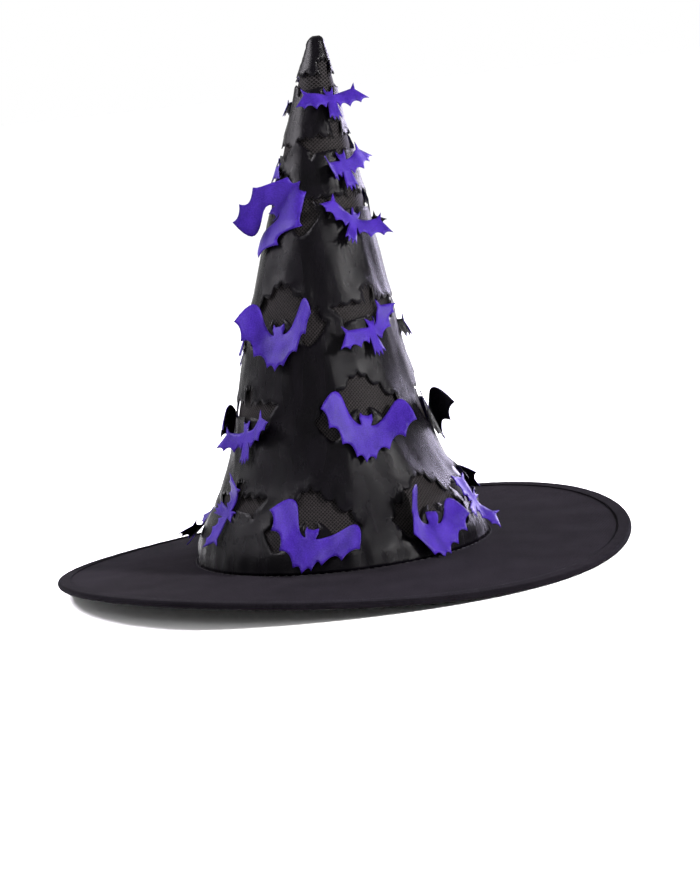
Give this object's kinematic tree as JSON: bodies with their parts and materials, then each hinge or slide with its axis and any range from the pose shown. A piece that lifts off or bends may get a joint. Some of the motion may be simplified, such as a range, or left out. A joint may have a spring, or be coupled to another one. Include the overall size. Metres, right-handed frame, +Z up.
{
  "type": "witch hat",
  "caption": "Tall pointed witch hat with a wide wired brim, a satin crown over stiff net, and bat shapes cut from the satin and folded out as hanging flaps.",
  "frame": {"origin": "middle of the head opening, on the plane that the edge of the brim rests on", "axes": "+Z up through the crown; -Y towards the front, where the wearer looks; +X to the side that the tip leans to"},
  "size_m": [0.3719, 0.372, 0.3299],
  "materials": {
    "brim_cloth": "matte, fine plain weave",
    "felt": "matte pressed felt",
    "binding_tape": "matte, fine plain weave",
    "spring_wire": "drawn wire",
    "crimp": "plain tube",
    "stiff_net": "open weave, stiffened",
    "black_satin": "satin sheen",
    "ribbon": "ribbed grosgrain",
    "thread": "spun thread",
    "purple_satin": "satin, purple outside and black behind"
  },
  "bodies": {
    "hat": {"brim_under_cover": "brim_cloth", "brim_stiffener": "felt", "brim_top_cover": "brim_cloth", "edge_binding": "binding_tape", "edge_wire": "spring_wire", "wire_sleeve": "crimp", "net_low": "stiff_net", "net_middle": "stiff_net", "net_tip": "stiff_net", "satin_cover": "black_satin", "sweatband": "ribbon", "crown_seam_stitches": "thread", "edge_topstitch": "thread", "back_seam_stitches": "thread", "sweatband_stitches": "thread"},
    "bat_row1_1_flap": {"bat_row1_1": "purple_satin"},
    "bat_row1_2_flap": {"bat_row1_2": "purple_satin"},
    "bat_row1_3_flap": {"bat_row1_3": "purple_satin"},
    "bat_row1_4_flap": {"bat_row1_4": "purple_satin"},
    "bat_row1_5_flap": {"bat_row1_5": "purple_satin"},
    "bat_row1_6_flap": {"bat_row1_6": "purple_satin"},
    "bat_row1_7_flap": {"bat_row1_7": "purple_satin"},
    "bat_row1_8_flap": {"bat_row1_8": "purple_satin"},
    "bat_row2_1_flap": {"bat_row2_1": "purple_satin"},
    "bat_row2_2_flap": {"bat_row2_2": "purple_satin"},
    "bat_row2_3_flap": {"bat_row2_3": "purple_satin"},
    "bat_row2_4_flap": {"bat_row2_4": "purple_satin"},
    "bat_row2_5_flap": {"bat_row2_5": "purple_satin"},
    "bat_row3_1_flap": {"bat_row3_1": "purple_satin"},
    "bat_row3_2_flap": {"bat_row3_2": "purple_satin"},
    "bat_row3_3_flap": {"bat_row3_3": "purple_satin"},
    "bat_row3_4_flap": {"bat_row3_4": "purple_satin"},
    "bat_row3_5_flap": {"bat_row3_5": "purple_satin"},
    "bat_row4_1_flap": {"bat_row4_1": "purple_satin"},
    "bat_row4_2_flap": {"bat_row4_2": "purple_satin"},
    "bat_row4_3_flap": {"bat_row4_3": "purple_satin"},
    "bat_row4_4_flap": {"bat_row4_4": "purple_satin"},
    "bat_row5_1_flap": {"bat_row5_1": "purple_satin"},
    "bat_row5_2_flap": {"bat_row5_2": "purple_satin"},
    "bat_row5_3_flap": {"bat_row5_3": "purple_satin"},
    "bat_row6_1_flap": {"bat_row6_1": "purple_satin"},
    "bat_row6_2_flap": {"bat_row6_2": "purple_satin"}
  },
  "joints": [
    {"name": "bat_row1_1_fold", "type": "hinge", "parent": "hat", "child": "bat_row1_1_flap", "pos_m": [-0.01929, -0.08354, 0.02964], "axis": [-0.9744, 0.225, 0], "range_deg": [-7, 12], "stiffness_Nm_per_rad": 0.002},
    {"name": "bat_row1_2_fold", "type": "hinge", "parent": "hat", "child": "bat_row1_2_flap", "pos_m": [0.05847, -0.06271, 0.02964], "axis": [-0.7314, -0.682, 0], "range_deg": [-7, 12], "stiffness_Nm_per_rad": 0.002},
    {"name": "bat_row1_3_fold", "type": "hinge", "parent": "hat", "child": "bat_row1_3_flap", "pos_m": [0.08468, -0.01341, 0.02964], "axis": [-0.1564, -0.9877, 0], "range_deg": [-7, 80], "stiffness_Nm_per_rad": 0.002},
    {"name": "bat_row1_4_fold", "type": "hinge", "parent": "hat", "child": "bat_row1_4_flap", "pos_m": [0.07023, 0.04918, 0.02964], "axis": [0.5736, -0.8192, 0], "range_deg": [-7, 12], "stiffness_Nm_per_rad": 0.002},
    {"name": "bat_row1_5_fold", "type": "hinge", "parent": "hat", "child": "bat_row1_5_flap", "pos_m": [0.01489, 0.08444, 0.02964], "axis": [0.9848, -0.1736, 0], "range_deg": [-7, 80], "stiffness_Nm_per_rad": 0.002},
    {"name": "bat_row1_6_fold", "type": "hinge", "parent": "hat", "child": "bat_row1_6_flap", "pos_m": [-0.04918, 0.07023, 0.02964], "axis": [0.8192, 0.5736, 0], "range_deg": [-7, 12], "stiffness_Nm_per_rad": 0.002},
    {"name": "bat_row1_7_fold", "type": "hinge", "parent": "hat", "child": "bat_row1_7_flap", "pos_m": [-0.08444, 0.01489, 0.02964], "axis": [0.1736, 0.9848, 0], "range_deg": [-7, 80], "stiffness_Nm_per_rad": 0.002},
    {"name": "bat_row1_8_fold", "type": "hinge", "parent": "hat", "child": "bat_row1_8_flap", "pos_m": [-0.06763, -0.04562, 0.03764], "axis": [-0.5592, 0.829, 0], "range_deg": [-7, 80], "stiffness_Nm_per_rad": 0.002},
    {"name": "bat_row2_1_fold", "type": "hinge", "parent": "hat", "child": "bat_row2_1_flap", "pos_m": [-0.05283, -0.03059, 0.09281], "axis": [-0.5, 0.866, 0], "range_deg": [-6, 80], "stiffness_Nm_per_rad": 0.002},
    {"name": "bat_row2_2_fold", "type": "hinge", "parent": "hat", "child": "bat_row2_2_flap", "pos_m": [0.02257, -0.05692, 0.09278], "axis": [-0.9304, -0.3665, 0], "range_deg": [-6, 20], "stiffness_Nm_per_rad": 0.002},
    {"name": "bat_row2_3_fold", "type": "hinge", "parent": "hat", "child": "bat_row2_3_flap", "pos_m": [0.0604, 0.01062, 0.09277], "axis": [0.1736, -0.9848, 0], "range_deg": [-6, 20], "stiffness_Nm_per_rad": 0.002},
    {"name": "bat_row2_4_fold", "type": "hinge", "parent": "hat", "child": "bat_row2_4_flap", "pos_m": [0.01077, 0.06025, 0.09278], "axis": [0.9848, -0.1736, 0], "range_deg": [-6, 80], "stiffness_Nm_per_rad": 0.002},
    {"name": "bat_row2_5_fold", "type": "hinge", "parent": "hat", "child": "bat_row2_5_flap", "pos_m": [-0.04996, 0.03509, 0.09281], "axis": [0.5736, 0.8192, 0], "range_deg": [-6, 20], "stiffness_Nm_per_rad": 0.002},
    {"name": "bat_row3_1_fold", "type": "hinge", "parent": "hat", "child": "bat_row3_1_flap", "pos_m": [-0.02565, -0.03803, 0.1523], "axis": [-0.7986, 0.6018, 0], "range_deg": [-7, 28], "stiffness_Nm_per_rad": 0.002},
    {"name": "bat_row3_2_fold", "type": "hinge", "parent": "hat", "child": "bat_row3_2_flap", "pos_m": [0.03385, -0.03699, 0.14917], "axis": [-0.766, -0.6428, 0], "range_deg": [-7, 80], "stiffness_Nm_per_rad": 0.002},
    {"name": "bat_row3_3_fold", "type": "hinge", "parent": "hat", "child": "bat_row3_3_flap", "pos_m": [0.04693, 0.01964, 0.14914], "axis": [0.4067, -0.9135, 0], "range_deg": [-7, 80], "stiffness_Nm_per_rad": 0.002},
    {"name": "bat_row3_4_fold", "type": "hinge", "parent": "hat", "child": "bat_row3_4_flap", "pos_m": [-0.0014, 0.04809, 0.14924], "axis": [0.9962, 0.0872, 0], "range_deg": [-7, 80], "stiffness_Nm_per_rad": 0.002},
    {"name": "bat_row3_5_fold", "type": "hinge", "parent": "hat", "child": "bat_row3_5_flap", "pos_m": [-0.04309, 0.01491, 0.14933], "axis": [0.309, 0.9511, 0], "range_deg": [-7, 80], "stiffness_Nm_per_rad": 0.002},
    {"name": "bat_row4_1_fold", "type": "hinge", "parent": "hat", "child": "bat_row4_1_flap", "pos_m": [-0.01916, -0.01765, 0.22035], "axis": [-0.5446, 0.8387, 0], "range_deg": [-7, 36], "stiffness_Nm_per_rad": 0.002},
    {"name": "bat_row4_2_fold", "type": "hinge", "parent": "hat", "child": "bat_row4_2_flap", "pos_m": [0.03125, -0.0235, 0.21667], "axis": [-0.7071, -0.7071, 0], "range_deg": [-7, 80], "stiffness_Nm_per_rad": 0.002},
    {"name": "bat_row4_3_fold", "type": "hinge", "parent": "hat", "child": "bat_row4_3_flap", "pos_m": [0.03286, 0.02292, 0.21217], "axis": [0.6691, -0.7431, 0], "range_deg": [-7, 80], "stiffness_Nm_per_rad": 0.002},
    {"name": "bat_row4_4_fold", "type": "hinge", "parent": "hat", "child": "bat_row4_4_flap", "pos_m": [-0.00706, 0.03102, 0.2123], "axis": [0.9063, 0.4226, 0], "range_deg": [-7, 80], "stiffness_Nm_per_rad": 0.002},
    {"name": "bat_row5_1_fold", "type": "hinge", "parent": "hat", "child": "bat_row5_1_flap", "pos_m": [0.02601, -0.01939, 0.25418], "axis": [-0.788, -0.6157, 0], "range_deg": [-7, 80], "stiffness_Nm_per_rad": 0.002},
    {"name": "bat_row5_2_fold", "type": "hinge", "parent": "hat", "child": "bat_row5_2_flap", "pos_m": [0.01805, 0.02353, 0.25422], "axis": [0.9563, -0.2924, 0], "range_deg": [-7, 80], "stiffness_Nm_per_rad": 0.002},
    {"name": "bat_row5_3_fold", "type": "hinge", "parent": "hat", "child": "bat_row5_3_flap", "pos_m": [-0.01364, 0.00171, 0.25439], "axis": [0.0698, 0.9976, 0], "range_deg": [-7, 80], "stiffness_Nm_per_rad": 0.002},
    {"name": "bat_row6_1_fold", "type": "hinge", "parent": "hat", "child": "bat_row6_1_flap", "pos_m": [0.02241, -0.01319, 0.29369], "axis": [-0.8572, -0.515, 0], "range_deg": [-7, 80], "stiffness_Nm_per_rad": 0.002},
    {"name": "bat_row6_2_fold", "type": "hinge", "parent": "hat", "child": "bat_row6_2_flap", "pos_m": [0.00612, 0.01288, 0.29384], "axis": [0.8387, 0.5446, 0], "range_deg": [-7, 80], "stiffness_Nm_per_rad": 0.002}
  ]
}
